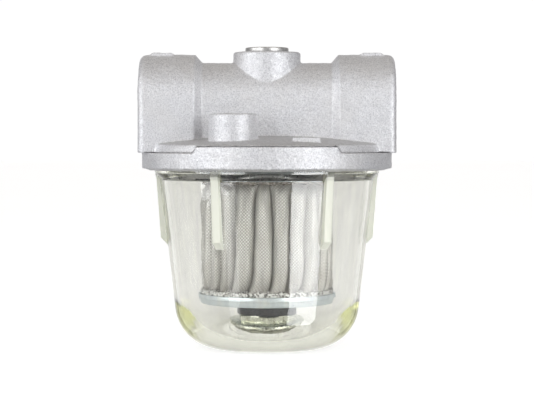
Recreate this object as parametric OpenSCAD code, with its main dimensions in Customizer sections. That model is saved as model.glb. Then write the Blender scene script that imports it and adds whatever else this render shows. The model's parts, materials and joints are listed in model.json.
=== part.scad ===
// In-line bowl filter: die-cast head, clear screw-on bowl, pleated mesh cartridge, magnet and spring.
// The origin is the middle of the bowl's foot, +Z is up and the two ports lie on X.

/* [Head] */
// Distance between the two port faces
face_to_face = 96; // [94:0.5:104]
// Height of the port axis above the bowl's foot
port_axis_z = 93.5; // [93:0.1:94.5]
// Outer radius of the port bosses
port_boss_r = 17.5; // [17:0.1:18]
// Outer radius of the neck between the port bosses
neck_r = 14.4; // [14:0.1:15]
// Where the port boss ends and its bevel to the neck starts
boss_inner_x = 27; // [26:0.1:28]
// Length of the bevel between boss and neck
bevel_len = 2.7; // [2:0.1:3]
// Radius of the boss that carries the vent plug
top_boss_r = 12.7; // [12:0.1:13.5]
// Height of the top boss's face
top_boss_z = 112; // [111.6:0.1:113]
// Radius of the small front boss
front_boss_r = 9; // [8.6:0.1:9.5]
// Position of the small front boss along the port axis
front_boss_x = -12.3; // [-13:0.1:-11]
// Position of the small front boss towards the front
front_boss_y = -26.6; // [-28:0.1:-26]
// Height of the small front boss's face
front_boss_z = 88.4; // [88:0.1:90]

/* [Dome and skirt] */
// Outer radius of the skirt
skirt_r = 47.3; // [47.1:0.1:48]
// Lower edge of the skirt, outside
skirt_z = 68.3; // [68.1:0.1:68.6]
// Radius of the flange at its upper edge
flange_r = 44.5; // [44:0.1:45]
// Height of the flange's upper edge
flange_z = 77.2; // [77:0.1:77.6]
// Height of the top of the dome
dome_z = 80.5; // [80:0.1:81]
// Height of the parting line below the port bosses
parting_low_z = 74.1; // [73.8:0.1:74.4]
// Height of the parting line at the front and the back
parting_high_z = 76.3; // [76:0.1:76.6]

/* [Port threads] */
// Radius over the crests of the port thread, G 3/4
port_thread_r = 12.06; // [12:0.01:12.1]
// Depth of each port from its face, bevel included
port_depth = 16.7; // [15:0.1:18]
// Radius of the bevel at the mouth of each port
port_mouth_r = 13.5; // [13.3:0.1:13.9]
// Length of the bevel at the mouth of each port
port_bevel = 1.3; // [1:0.1:1.6]

/* [Flow passages] */
// Radius of the passage behind each port
passage_r = 10; // [9:0.1:10.4]
// Radius of the way down from the inlet into the bowl
inlet_drop_r = 7.5; // [7:0.1:7.8]
// Distance of the inlet's way down from the middle
inlet_drop_x = 22; // [21.5:0.1:22.5]
// Radius of the way up from the cartridge
outlet_r = 9; // [8.5:0.1:9.4]
// Outer radius of the seat above the cartridge
seat_r = 17; // [16.6:0.1:18]
// Height of the seat's lower face
seat_z = 68.5; // [68.3:0.1:68.7]
// Height of the ceiling inside the skirt
ceiling_z = 75.5; // [75.4:0.1:75.6]

/* [Bowl] */
// Radius of the bowl's wall where its straight taper starts
bowl_low_r = 35.4; // [35.2:0.1:35.6]
// Height at which that radius is measured
bowl_low_z = 19; // [18:0.5:20]
// Taper of the wall, radius gained for each unit of height
bowl_taper = 0.113; // [0.105:0.001:0.115]
// Outer radius of the rounded foot
foot_arc_r = 17; // [16.5:0.1:17.5]
// Inner radius of the rounded foot
floor_arc_r = 18.5; // [18:0.1:18.8]
// Wall thickness
bowl_wall = 2.2; // [2:0.1:2.4]
// Height of the bowl's floor inside
floor_z = 3; // [2.9:0.05:3.1]
// Height at which the wall flares into the collar
flare_z = 64.1; // [63.9:0.1:64.4]
// Height at which the flare reaches the collar
collar_z = 66.4; // [66.2:0.1:66.6]
// Radius of the collar below the thread
collar_r = 42.6; // [42.4:0.1:42.7]
// Inner radius of the collar
collar_bore_r = 38.4; // [38:0.1:38.6]
// Height of the bowl's rim
rim_z = 75.2; // [75.1:0.05:75.3]

/* [Grip ribs] */
// Number of ribs around the bowl
rib_count = 6; // [4:1:8]
// Angle of the first rib from the port axis
rib_angle = 3; // [0:1:10]
// Width of a rib
rib_w = 3.1; // [2.6:0.1:3.6]
// Reach of the ribs at their upper end
rib_top_r = 42.1; // [41.8:0.1:42.3]
// Reach of the ribs at their lower end
rib_foot_r = 40.3; // [39.8:0.1:40.6]
// Height of a rib's lower end
rib_foot_z = 41.9; // [40:0.1:44]

/* [Bowl thread] */
// Pitch of the bowl's thread
bowl_pitch = 3; // [2.8:0.1:3]
// Radius over the crests of the bowl's thread
bowl_thread_r = 42.95; // [42.9:0.01:43]
// Radius over the crests of the thread inside the skirt
skirt_thread_r = 43.3; // [43.25:0.01:43.4]
// Depth of both threads
bowl_thread_depth = 1.1; // [0.8:0.1:1.2]

/* [Cartridge] */
// Outer radius of the two caps
cap_r = 26; // [26:0.1:26.4]
// Sheet thickness of the caps
cap_sheet = 0.8; // [0.7:0.05:0.9]
// Underside of the lower cap
bottom_cap_z = 16.9; // [16.8:0.1:17]
// Height of the lower cap's rim
bottom_rim_h = 4.3; // [4:0.1:4.4]
// Top of the upper cap
top_cap_z = 66.9; // [66.8:0.1:67]
// Height of the upper cap's rim
top_rim_h = 3; // [2.8:0.1:3.2]
// Number of pleats
pleat_count = 22; // [20:1:28]
// Radius over the pleats' crests
pleat_r = 25.1; // [24.8:0.1:25.1]
// Radius inside the pleats' valleys
pleat_inner_r = 16.6; // [16.4:0.1:17]
// Outer radius of the perforated tube
tube_r = 15.7; // [15.4:0.1:15.7]
// Wall of the perforated tube
tube_wall = 0.7; // [0.5:0.1:0.8]
// Radius of the holes in the tube
tube_hole_r = 2; // [1.5:0.1:2.4]

/* [Magnet and spring] */
// Outer radius of the ring magnet
magnet_r = 11.3; // [11:0.1:11.6]
// Height of the ring magnet
magnet_h = 6.4; // [6.3:0.1:6.5]
// Radius of the bolt that carries the magnet
bolt_r = 5; // [4.8:0.1:5]
// Width of the nut across its flats
nut_flats = 21.6; // [21:0.1:21.8]
// Height of the nut's hexagon
nut_hex_h = 3; // [2.95:0.05:3.1]
// Radius of the nut's flange
nut_flange_r = 14.6; // [14.3:0.1:15]
// Thickness of the nut's flange
nut_flange_h = 1.4; // [1.3:0.05:1.45]
// Diameter of the spring's wire
spring_wire = 1.2; // [1.1:0.05:1.25]
// Radius of the spring's widest turn, at the wire's middle
spring_r = 13; // [12.6:0.1:13.2]

/* [Plugs] */
// Radius of the vent plug's flange
vent_flange_r = 8.2; // [8:0.1:8.6]
// Thickness of the vent plug's flange
vent_flange_h = 1.7; // [1.4:0.1:2]
// Radius of the vent plug's threaded shank, G 1/4
vent_shank_r = 6.45; // [6.4:0.01:6.5]
// Radius of the gauge plug's threaded shank, G 1/8
gauge_shank_r = 4.75; // [4.7:0.01:4.8]
// Radius of the gauge plug's head
gauge_head_r = 6.3; // [6.2:0.05:6.3]

/* [Hidden] */
$fn = 96;

// Overlap used wherever one solid is joined to or cut from another
eps = 0.01;
// Running clearance of a shaft in its hole
run_fit = 0.08;
// Clearance between neighbouring pieces of one cartridge
nest_gap = 0.05;

half_face = face_to_face / 2;
port_rim_fillet = 2.4;

taper_len = sqrt(1 + bowl_taper * bowl_taper);
taper_angle = atan(bowl_taper);
seal_step_z = 73.2;
seal_step_r = 41;
o_ring_wire_r = 1;
o_ring_r = 42.1;
o_ring_z = seal_step_z + o_ring_wire_r + 0.1;

tube_bottom_z = bottom_cap_z + cap_sheet;
tube_top_z = top_cap_z - cap_sheet;
potting_r = cap_r - cap_sheet - nest_gap;
cloth_bottom_z = bottom_cap_z + bottom_rim_h + 0.3;
cloth_top_z = top_cap_z - top_rim_h + 0.2;

pole_washer_h = 0.7;
magnet_top_z = bottom_cap_z - pole_washer_h;
nut_top_z = magnet_top_z - magnet_h;
nut_bottom_z = nut_top_z - nut_hex_h - nut_flange_h;

vent_seal_h = 0.8;
vent_seal_r = 7.6;
gauge_head_h = 1.5;
gauge_seal_h = 0.6;
gauge_sink = 0.5;
gauge_seal_z = front_boss_z - gauge_sink - gauge_head_h - gauge_seal_h;

// Outer radius of the bowl's tapered wall at height z
function wall_r(z) = bowl_low_r + (z - bowl_low_z) * bowl_taper;

// Points of an arc around centre c from angle a0 to a1
function arc(c, r, a0, a1, n) =
    [for (i = [0 : n]) let (a = a0 + (a1 - a0) * i / n) c + r * [cos(a), sin(a)]];

// Centre radius of the arc of radius r that touches the floor at z0 and a tapered wall inset by t
function foot_centre(r, z0, t) = wall_r(z0 + r) - taper_len * (r + t);

// Ring of rectangular section
module ring(r_out, r_in, z0, h) {
    translate([0, 0, z0]) difference() {
        cylinder(r = r_out, h = h);
        translate([0, 0, -1]) cylinder(r = r_in, h = h + 2);
    }
}

// V-shaped grooves cut outwards from a bore of radius r
module thread_grooves(r, depth, pitch, turns, z0) {
    flat = pitch * 0.12;
    for (i = [0 : turns - 1]) translate([0, 0, z0 + i * pitch]) rotate_extrude()
        polygon([
            [r - eps, flat], [r + depth, pitch / 2 - flat / 2],
            [r + depth, pitch / 2 + flat / 2], [r - eps, pitch - flat]
        ]);
}

// Turns +Z onto the outward axis of the port on the given side
module at_port(side) {
    translate([side * half_face, 0, port_axis_z]) rotate([0, side * 90, 0]) children();
}

// Round-topped section, extruded along X between x0 and x1
module tombstone(r, z_low, x0, x1) {
    translate([x0, 0, port_axis_z]) rotate([90, 0, 90]) linear_extrude(x1 - x0) {
        circle(r = r);
        translate([-r, z_low - port_axis_z]) square([2 * r, port_axis_z - z_low]);
    }
}

// Round-topped port boss on the +X side, with a soft rim around its outer face
module port_boss() {
    rim_arc = arc([port_boss_r - port_rim_fillet, half_face - port_rim_fillet], port_rim_fillet, 0, 90, 8);
    along_ports() rotate_extrude() polygon(concat(
        [[0, boss_inner_x], [port_boss_r, boss_inner_x]], rim_arc, [[0, half_face]]
    ));
    // straight lower half, as the same outline seen from above
    side = concat([[port_boss_r, boss_inner_x]], rim_arc);
    translate([0, 0, parting_low_z]) linear_extrude(port_axis_z - parting_low_z) polygon(concat(
        [for (p = side) [p[1], p[0]]], [for (i = [len(side) - 1 : -1 : 0]) [side[i][1], -side[i][0]]]
    ));
    boss_bevel();
    port_pad();
}

// Bevel between the port boss and the neck
module boss_bevel() {
    start_x = boss_inner_x - bevel_len;
    translate([start_x, 0, port_axis_z]) rotate([0, 90, 0])
        cylinder(r1 = neck_r, r2 = port_boss_r, h = bevel_len + eps);
    translate([0, 0, parting_low_z]) linear_extrude(port_axis_z - parting_low_z) polygon([
        [start_x, -neck_r], [boss_inner_x, -port_boss_r], [boss_inner_x + eps, -port_boss_r],
        [boss_inner_x + eps, port_boss_r], [boss_inner_x, port_boss_r], [start_x, neck_r]
    ]);
}

// Turns a shape drawn along +Z onto the port axis on the +X side
module along_ports() {
    translate([0, 0, port_axis_z]) rotate([0, 90, 0]) children();
}

// Flat pad with sloped ends on the crown of a port boss
module port_pad() {
    pad_x = 35;
    pad_len = 9;
    pad_h = 0.65;
    slope = 1.3;
    pad_half_w = 5;
    crown_z = port_axis_z + port_boss_r;
    translate([pad_x, pad_half_w, crown_z]) rotate([90, 0, 0]) linear_extrude(2 * pad_half_w) polygon([
        [0, -2], [0, 0], [slope, pad_h], [pad_len - slope, pad_h], [pad_len, 0], [pad_len, -2]
    ]);
}

// Flange and the low dome above it, one profile turned about the bowl's axis
module dome() {
    dome_steps = 10;
    draft = 0.5;
    edge = 0.5;
    rise = dome_z - flange_z;
    crown_r = flange_r - edge;
    rotate_extrude() polygon(concat(
        [[0, parting_low_z], [flange_r + draft, parting_low_z], [flange_r, flange_z - edge]],
        [for (i = [0 : dome_steps]) let (r = crown_r * (1 - i / dome_steps))
            [r, flange_z + rise * (1 - pow(r / crown_r, 2))]]
    ));
}

// Skirt with its bevelled lower edge; its upper edge steps up at the front and the back
module skirt() {
    step_x = 26.4;
    step_run = 1.5;
    rotate_extrude() polygon([
        [30, parting_low_z], [skirt_r, parting_low_z], [skirt_r, skirt_z],
        [skirt_thread_r - 0.2, skirt_z - 0.9], [30, skirt_z - 0.9]
    ]);
    intersection() {
        translate([0, 0, parting_low_z - eps])
            cylinder(r = skirt_r, h = parting_high_z - parting_low_z + eps);
        translate([0, skirt_r + 1, 0]) rotate([90, 0, 0]) linear_extrude(2 * skirt_r + 2) polygon([
            [-step_x, parting_low_z - 1], [step_x, parting_low_z - 1], [step_x, parting_low_z],
            [step_x - step_run, parting_high_z + 1], [step_run - step_x, parting_high_z + 1],
            [-step_x, parting_low_z]
        ]);
    }
}

module top_boss() {
    fillet = 1;
    rotate_extrude() polygon(concat(
        [[0, port_axis_z], [top_boss_r, port_axis_z]],
        arc([top_boss_r - fillet, top_boss_z - fillet], fillet, 0, 90, 6),
        [[0, top_boss_z]]
    ));
}

module front_boss() {
    edge = 0.5;
    translate([front_boss_x, front_boss_y, 0]) rotate_extrude() polygon([
        [0, ceiling_z], [front_boss_r, ceiling_z], [front_boss_r, front_boss_z - edge],
        [front_boss_r - edge, front_boss_z], [0, front_boss_z]
    ]);
}

// Plain raised mark on the front of the dome
module dome_pad() {
    pad_x = 9.2;
    pad_y = -36.5;
    pad_w = 10;
    pad_d = 5;
    pad_z = dome_z - 0.8;
    translate([pad_x, pad_y, pad_z - 3]) cube([pad_w, pad_d, 3]);
}

module head_outside() {
    for (flip = [0, 1]) mirror([flip, 0, 0]) port_boss();
    tombstone(neck_r, parting_high_z, -boss_inner_x, boss_inner_x);
    dome();
    skirt();
    top_boss();
    front_boss();
    dome_pad();
}

// Port with its wall at the radius of the thread's crests
module port_bore(side) {
    at_port(side) {
        translate([0, 0, -port_depth]) cylinder(r = port_thread_r, h = port_depth + 1);
        translate([0, 0, -port_bevel]) cylinder(r1 = port_thread_r, r2 = port_mouth_r, h = port_bevel + eps);
    }
}

module inlet_passage() {
    run = half_face - port_depth + 1;
    translate([-run, 0, port_axis_z]) rotate([0, 90, 0]) cylinder(r = passage_r, h = run - inlet_drop_x);
    translate([-inlet_drop_x, 0, port_axis_z]) sphere(r = passage_r);
    translate([-inlet_drop_x, 0, ceiling_z - 1]) cylinder(r = inlet_drop_r, h = port_axis_z - ceiling_z);
}

module outlet_passage() {
    run = half_face - port_depth + 1;
    translate([0, 0, port_axis_z]) rotate([0, 90, 0]) cylinder(r = passage_r, h = run);
    translate([0, 0, port_axis_z]) sphere(r = passage_r);
    translate([0, 0, seat_z - 1]) cylinder(r = outlet_r, h = port_axis_z - seat_z);
}

// Room inside the skirt for the bowl's collar, around the cartridge's seat
module skirt_room() {
    grooves = 2;
    groove_z = skirt_z + 0.2;
    difference() {
        translate([0, 0, skirt_z - 2]) cylinder(r = skirt_thread_r, h = ceiling_z - skirt_z + 2);
        translate([0, 0, seat_z]) cylinder(r = seat_r, h = ceiling_z);
    }
    thread_grooves(skirt_thread_r, bowl_thread_depth, bowl_pitch * 0.85, grooves, groove_z);
}

module plug_holes() {
    translate([0, 0, port_axis_z]) cylinder(r = vent_shank_r + run_fit, h = 30);
    translate([0, 0, top_boss_z - vent_seal_h]) cylinder(r = vent_seal_r + run_fit, h = 2);
    translate([front_boss_x, front_boss_y, ceiling_z - 1]) cylinder(r = gauge_shank_r + run_fit, h = 30);
    translate([front_boss_x, front_boss_y, gauge_seal_z]) cylinder(r = gauge_head_r + 0.3, h = 10);
}

module head_casting() {
    color("lightgray") difference() {
        head_outside();
        port_bore(-1);
        port_bore(1);
        inlet_passage();
        outlet_passage();
        skirt_room();
        plug_holes();
    }
}

// Hexagon of the given width across flats
module hex(flats, h) {
    cylinder(r = flats / 2 / cos(30), h = h, $fn = 6);
}

module vent_plug() {
    shank = 7;
    socket_flats = 6;
    socket_depth = 4;
    edge = 0.5;
    top = top_boss_z + vent_flange_h;
    color("silver") difference() {
        rotate_extrude() polygon([
            [0, top_boss_z - shank], [vent_shank_r - 1, top_boss_z - shank],
            [vent_shank_r, top_boss_z - shank + 1], [vent_shank_r, top_boss_z],
            [vent_flange_r, top_boss_z], [vent_flange_r, top - edge], [vent_flange_r - edge, top], [0, top]
        ]);
        translate([0, 0, top - socket_depth]) hex(socket_flats, socket_depth + 1);
    }
}

module vent_plug_seal() {
    color("black") ring(vent_seal_r, vent_shank_r + run_fit, top_boss_z - vent_seal_h, vent_seal_h);
}

module gauge_plug() {
    shank = 8;
    socket_flats = 5;
    head_z = gauge_seal_z + gauge_seal_h;
    color("silver") translate([front_boss_x, front_boss_y, 0]) difference() {
        rotate_extrude() polygon([
            [0, head_z - shank], [gauge_shank_r - 0.8, head_z - shank],
            [gauge_shank_r, head_z - shank + 0.8], [gauge_shank_r, head_z], [gauge_head_r, head_z],
            [gauge_head_r, head_z + gauge_head_h - 0.3], [gauge_head_r - 0.3, head_z + gauge_head_h],
            [0, head_z + gauge_head_h]
        ]);
        translate([0, 0, head_z - 2]) hex(socket_flats, gauge_head_h + 3);
    }
}

module gauge_plug_seal() {
    color("black") translate([front_boss_x, front_boss_y, 0])
        ring(gauge_head_r, gauge_shank_r + run_fit, gauge_seal_z, gauge_seal_h);
}

// Half profile of the bowl's outside, from the foot up to the rim and back along the rim's step
function bowl_outside() = let (c = foot_centre(foot_arc_r, 0, 0)) concat(
    [[0, 0]],
    arc([c, foot_arc_r], foot_arc_r, -90, -taper_angle, 24),
    [
        [wall_r(flare_z), flare_z], [collar_r, collar_z], [collar_r, skirt_z - 0.4],
        [bowl_thread_r - bowl_thread_depth, skirt_z + 0.3],
        [bowl_thread_r - bowl_thread_depth, seal_step_z], [seal_step_r, seal_step_z], [seal_step_r, rim_z]
    ]
);

// Half profile of the bowl's inside, from the rim down to the floor
function bowl_inside() = let (
    z0 = floor_z + floor_arc_r, c = foot_centre(floor_arc_r, floor_z, bowl_wall)
) concat(
    [[collar_bore_r, rim_z], [collar_bore_r, flare_z + 1.5]],
    arc([c, z0], floor_arc_r, -taper_angle, -90, 24),
    [[0, floor_z]]
);

module grip_rib() {
    root = 1.2;
    rotate([90, 0, 0]) translate([0, 0, -rib_w / 2]) linear_extrude(rib_w) polygon([
        [wall_r(collar_z) - root, collar_z], [rib_top_r, collar_z], [rib_foot_r, rib_foot_z],
        [wall_r(rib_foot_z - 2.7), rib_foot_z - 2.7], [wall_r(rib_foot_z - 2.7) - root, rib_foot_z - 2.7]
    ]);
}

// Ridges of the bowl's thread
module bowl_thread() {
    ridge_count = 2;
    root_r = bowl_thread_r - bowl_thread_depth;
    for (i = [0 : ridge_count - 1]) translate([0, 0, skirt_z + 0.7 + i * bowl_pitch * 0.75]) rotate_extrude()
        polygon([[root_r - 0.5, 0], [root_r, 0], [bowl_thread_r, 0.6], [bowl_thread_r, 1], [root_r, 1.6],
            [root_r - 0.5, 1.6]]);
}

module bowl() {
    color("palegoldenrod", 0.5) {
        rotate_extrude() polygon(concat(bowl_outside(), bowl_inside()));
        for (i = [0 : rib_count - 1]) rotate([0, 0, rib_angle + i * 360 / rib_count]) grip_rib();
        bowl_thread();
    }
}

module bowl_o_ring() {
    color("black") translate([0, 0, o_ring_z]) rotate_extrude()
        translate([o_ring_r, 0]) circle(r = o_ring_wire_r, $fn = 32);
}

module top_gasket() {
    color("dimgray") ring(seat_r - 0.5, outlet_r + 0.5, top_cap_z, seat_z - top_cap_z);
}

// Pressed cap: a disc with a rim; the rounded edge lies between them
module pressed_cap(hole_r, rim_h) {
    edge = 1;
    rotate_extrude() polygon(concat(
        [[hole_r, 0]], arc([cap_r - edge, edge], edge, -90, 0, 6),
        [[cap_r, rim_h], [cap_r - cap_sheet, rim_h], [cap_r - cap_sheet, cap_sheet], [hole_r, cap_sheet]]
    ));
}

module top_cap() {
    color("lightsteelblue") translate([0, 0, top_cap_z]) mirror([0, 0, 1])
        pressed_cap(outlet_r + 0.5, top_rim_h);
}

module bottom_cap() {
    color("lightsteelblue") translate([0, 0, bottom_cap_z]) pressed_cap(bolt_r + nest_gap, bottom_rim_h);
}

module top_potting() {
    color("peru") ring(potting_r, tube_r + nest_gap, cloth_top_z, tube_top_z - cloth_top_z);
}

module bottom_potting() {
    color("peru") ring(potting_r, tube_r + nest_gap, tube_bottom_z, cloth_bottom_z - tube_bottom_z);
}

module core_tube() {
    rows = 6;
    holes_around = 8;
    hole_pitch = (cloth_top_z - cloth_bottom_z) / rows;
    color("silver") difference() {
        ring(tube_r, tube_r - tube_wall, tube_bottom_z, tube_top_z - tube_bottom_z);
        for (row = [0 : rows - 1], i = [0 : holes_around / 2 - 1])
            translate([0, 0, cloth_bottom_z + (row + 0.5) * hole_pitch])
                rotate([90, 0, (i + row % 2 / 2) * 360 / holes_around])
                    cylinder(r = tube_hole_r, h = 3 * tube_r, center = true);
    }
}

// Closed wave of the pleats, at radii between low and high
module pleat_wave(low, high) {
    steps = pleat_count * 8;
    mid = (low + high) / 2;
    polygon([for (i = [0 : steps - 1]) let (a = i * 360 / steps)
        (mid + (high - low) / 2 * cos(a * pleat_count)) * [cos(a), sin(a)]]);
}

module pleated_mesh() {
    cloth = 1.4;
    color("gray") translate([0, 0, cloth_bottom_z]) linear_extrude(cloth_top_z - cloth_bottom_z) difference() {
        pleat_wave(pleat_inner_r + cloth, pleat_r);
        pleat_wave(pleat_inner_r, pleat_r - cloth);
    }
}

// Strip that clips the two ends of the cloth together, in a valley at the back
module mesh_seam() {
    strip_w = 0.7;
    strip_in = 19.6;
    valley = (floor(pleat_count / 4) + 0.5) * 360 / pleat_count;
    color("silver") rotate([0, 0, valley])
        translate([strip_in, -strip_w / 2, cloth_bottom_z])
            cube([pleat_r - 0.4 - strip_in, strip_w, cloth_top_z - cloth_bottom_z]);
}

module clamp_bolt() {
    head_flats = 16;
    head_h = 6;
    head_z = tube_bottom_z + 1;
    foot_z = nut_bottom_z + 0.6;
    color("silver") {
        translate([0, 0, head_z]) hex(head_flats, head_h);
        translate([0, 0, foot_z]) cylinder(r = bolt_r, h = head_z - foot_z + eps);
    }
}

module bolt_washer() {
    color("dimgray") ring(9, bolt_r + nest_gap, tube_bottom_z, 1);
}

module pole_washer() {
    color("silver") ring(magnet_r, bolt_r + nest_gap, magnet_top_z, pole_washer_h);
}

module ring_magnet() {
    color("#303030") ring(magnet_r, bolt_r + nest_gap, nut_top_z, magnet_h);
}

module flange_nut() {
    hex_angle = 3.5;
    edge = 0.5;
    color("silver") difference() {
        union() {
            rotate([0, 0, hex_angle]) translate([0, 0, nut_bottom_z + nut_flange_h - eps])
                hex(nut_flats, nut_hex_h + eps);
            translate([0, 0, nut_bottom_z]) rotate_extrude() polygon([
                [0, 0], [nut_flange_r - edge, 0], [nut_flange_r, edge], [nut_flange_r, nut_flange_h - edge],
                [nut_flange_r - edge, nut_flange_h], [0, nut_flange_h]
            ]);
        }
        translate([0, 0, nut_bottom_z - 1]) cylinder(r = bolt_r + nest_gap, h = nut_hex_h + nut_flange_h + 2);
    }
}

// Conical spring: half turns of shrinking radius, each tilted so that its ends meet the next.
// A ball a hair larger than the wire closes each meeting of two half turns.
module spring() {
    half_turns = 5;
    shrink = 0.7;
    wire_r = spring_wire / 2;
    ball_r = wire_r + 0.02;
    seat_gap = 0.02;
    low = floor_z + ball_r + seat_gap;
    high = nut_bottom_z - ball_r - seat_gap;
    rise = (high - low) / half_turns;
    // signed distance from the axis of the i-th meeting, which alternates between the two sides
    function meeting_x(i) = (i % 2 == 0 ? 1 : -1) * (spring_r - shrink * i);
    color("dimgray") {
        for (i = [0 : half_turns - 1]) {
            x0 = meeting_x(i);
            x1 = meeting_x(i + 1);
            translate([(x0 + x1) / 2, 0, low + rise * (i + 0.5)])
                rotate([0, sign(x0) * atan(rise / abs(x1 - x0)), 0])
                    rotate([0, 0, x0 > 0 ? 0 : 180]) rotate_extrude(angle = 180)
                        translate([norm([x1 - x0, rise]) / 2, 0]) circle(r = wire_r, $fn = 24);
        }
        for (i = [0 : half_turns]) translate([meeting_x(i), 0, low + rise * i]) sphere(r = ball_r, $fn = 32);
    }
}

head_casting();
vent_plug();
vent_plug_seal();
gauge_plug();
gauge_plug_seal();
bowl();
bowl_o_ring();
top_gasket();
top_cap();
top_potting();
core_tube();
pleated_mesh();
mesh_seam();
bottom_potting();
bottom_cap();
clamp_bolt();
bolt_washer();
pole_washer();
ring_magnet();
flange_nut();
spring();
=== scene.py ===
"""Looks of the in-line bowl filter: cast head, clear screw-on bowl, mesh cartridge, magnet and spring."""

import json
import math

import bpy
import numpy as np
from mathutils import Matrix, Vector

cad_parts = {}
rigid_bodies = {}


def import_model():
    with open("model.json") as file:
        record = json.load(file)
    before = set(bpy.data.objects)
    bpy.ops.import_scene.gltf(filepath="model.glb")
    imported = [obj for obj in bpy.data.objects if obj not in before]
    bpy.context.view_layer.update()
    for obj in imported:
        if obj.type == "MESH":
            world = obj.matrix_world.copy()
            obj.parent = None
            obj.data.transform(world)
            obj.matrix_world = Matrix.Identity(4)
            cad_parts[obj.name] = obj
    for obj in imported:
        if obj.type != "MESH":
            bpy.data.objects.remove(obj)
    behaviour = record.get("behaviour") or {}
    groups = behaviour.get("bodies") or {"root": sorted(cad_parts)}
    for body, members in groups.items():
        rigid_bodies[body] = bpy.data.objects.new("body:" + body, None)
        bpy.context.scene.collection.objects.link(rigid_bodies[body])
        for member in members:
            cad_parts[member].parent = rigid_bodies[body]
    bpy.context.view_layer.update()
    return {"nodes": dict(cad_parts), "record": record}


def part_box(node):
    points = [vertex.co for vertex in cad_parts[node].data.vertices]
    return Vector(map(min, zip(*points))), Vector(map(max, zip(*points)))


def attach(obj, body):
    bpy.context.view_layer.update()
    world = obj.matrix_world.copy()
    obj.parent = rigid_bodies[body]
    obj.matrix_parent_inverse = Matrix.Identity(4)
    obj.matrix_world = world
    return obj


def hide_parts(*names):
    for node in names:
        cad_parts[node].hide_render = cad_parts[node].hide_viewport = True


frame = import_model()
nodes = frame["nodes"]

MM = 0.001
TAU = 2 * math.pi
rng = np.random.RandomState(11)


# ------------------------------ sizes, in millimetres, from the frame

class Span:
    """A CAD node's box in millimetres."""
    def __init__(self, node):
        low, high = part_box(node)
        self.x0, self.y0, self.z0 = (v / MM for v in low)
        self.x1, self.y1, self.z1 = (v / MM for v in high)
        self.r = (self.x1 - self.x0) / 2
        self.cx, self.cy = (self.x0 + self.x1) / 2, (self.y0 + self.y1) / 2
        self.h = self.z1 - self.z0


mounts = {m["name"]: m for m in frame["record"]["mounts"]}
PORT_Z = mounts["outlet"]["pos_m"][2] / MM
PORT_MINOR_R = mounts["outlet"]["dims"]["r_mm"]
PORT_MAJOR_R = 13.22
PORT_PITCH = 1.814
PORT_DEPTH = 16.7
HALF_FACE = Span("head_casting").x1


# ------------------------------ mesh helpers

def new_object(name, vertices, faces, material, smooth_angle=35, uv=None):
    """A mesh object with edges sharper than smooth_angle marked. Vertices are in millimetres."""
    mesh = bpy.data.meshes.new(name)
    mesh.from_pydata((np.asarray(vertices, float) * MM).tolist(), [], [list(f) for f in faces])
    mesh.validate()
    mesh.update()
    if uv is not None:
        layer = mesh.uv_layers.new(name="Cloth")
        corner = np.empty(len(mesh.loops), np.int32)
        mesh.loops.foreach_get("vertex_index", corner)
        layer.data.foreach_set("uv", np.asarray(uv, np.float32)[corner].ravel())
    obj = bpy.data.objects.new(name, mesh)
    bpy.context.scene.collection.objects.link(obj)
    mesh.materials.append(material)
    soften(obj, smooth_angle)
    return obj


def soften(obj, angle):
    """Smooth shading with edges over the angle kept sharp."""
    mesh = obj.data
    mesh.polygons.foreach_set("use_smooth", np.ones(len(mesh.polygons), bool))
    mesh.set_sharp_from_angle(angle=math.radians(angle))


def grid_faces(rows, columns, wrap_columns=True, wrap_rows=False):
    """Quads between neighbouring rows of a grid of vertices."""
    faces = []
    for i in range(rows if wrap_rows else rows - 1):
        for j in range(columns if wrap_columns else columns - 1):
            a, b = i * columns + j, i * columns + (j + 1) % columns
            c, d = ((i + 1) % rows) * columns + (j + 1) % columns, ((i + 1) % rows) * columns + j
            faces.append((a, b, c, d))
    return faces


def fillet(points, radius, steps=4):
    """An open line in the (r, z) plane with its inner corners rounded. A point may carry its own radius."""
    out = [np.array(points[0][:2], float)]
    for before, here, after in zip(points, points[1:], points[2:]):
        p, q, s = (np.array(v[:2], float) for v in (before, here, after))
        r = here[2] if len(here) > 2 else radius
        u, v = p - q, s - q
        lu, lv = np.linalg.norm(u), np.linalg.norm(v)
        if r <= 0 or lu < 1e-9 or lv < 1e-9:
            out.append(q)
            continue
        u, v = u / lu, v / lv
        half = math.acos(np.clip(u @ v, -1, 1)) / 2
        if half > math.radians(88):
            out.append(q)
            continue
        cut = min(r / math.tan(half), 0.45 * lu, 0.45 * lv)
        r = cut * math.tan(half)
        middle = q + (u + v) / np.linalg.norm(u + v) * r / math.sin(half)
        start, end = q + u * cut - middle, q + v * cut - middle
        for k in range(steps + 1):
            t = k / steps
            d = start * (1 - t) + end * t
            out.append(middle + d / np.linalg.norm(d) * r)
    out.append(np.array(points[-1][:2], float))
    return np.array(out)


def close_with_fans(vertices, faces, rows, columns, first_tip, last_tip):
    """Closes the first and last rows of a grid with fans from one point each."""
    for row, point in ((0, first_tip), (rows - 1, last_tip)):
        vertices.append(point)
        tip = len(vertices) - 1
        for j in range(columns):
            a, b = row * columns + j, row * columns + (j + 1) % columns
            faces.append((tip, b, a) if row == 0 else (tip, a, b))


def close_with_polygons(faces, rows, columns):
    """Closes the first and last rows of a grid with one flat polygon each."""
    faces.append(tuple(reversed(range(columns))))
    faces.append(tuple(range((rows - 1) * columns, rows * columns)))
    return faces


def plain(points):
    """An array of points as a list of tuples."""
    return [tuple(p) for p in points]


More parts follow.
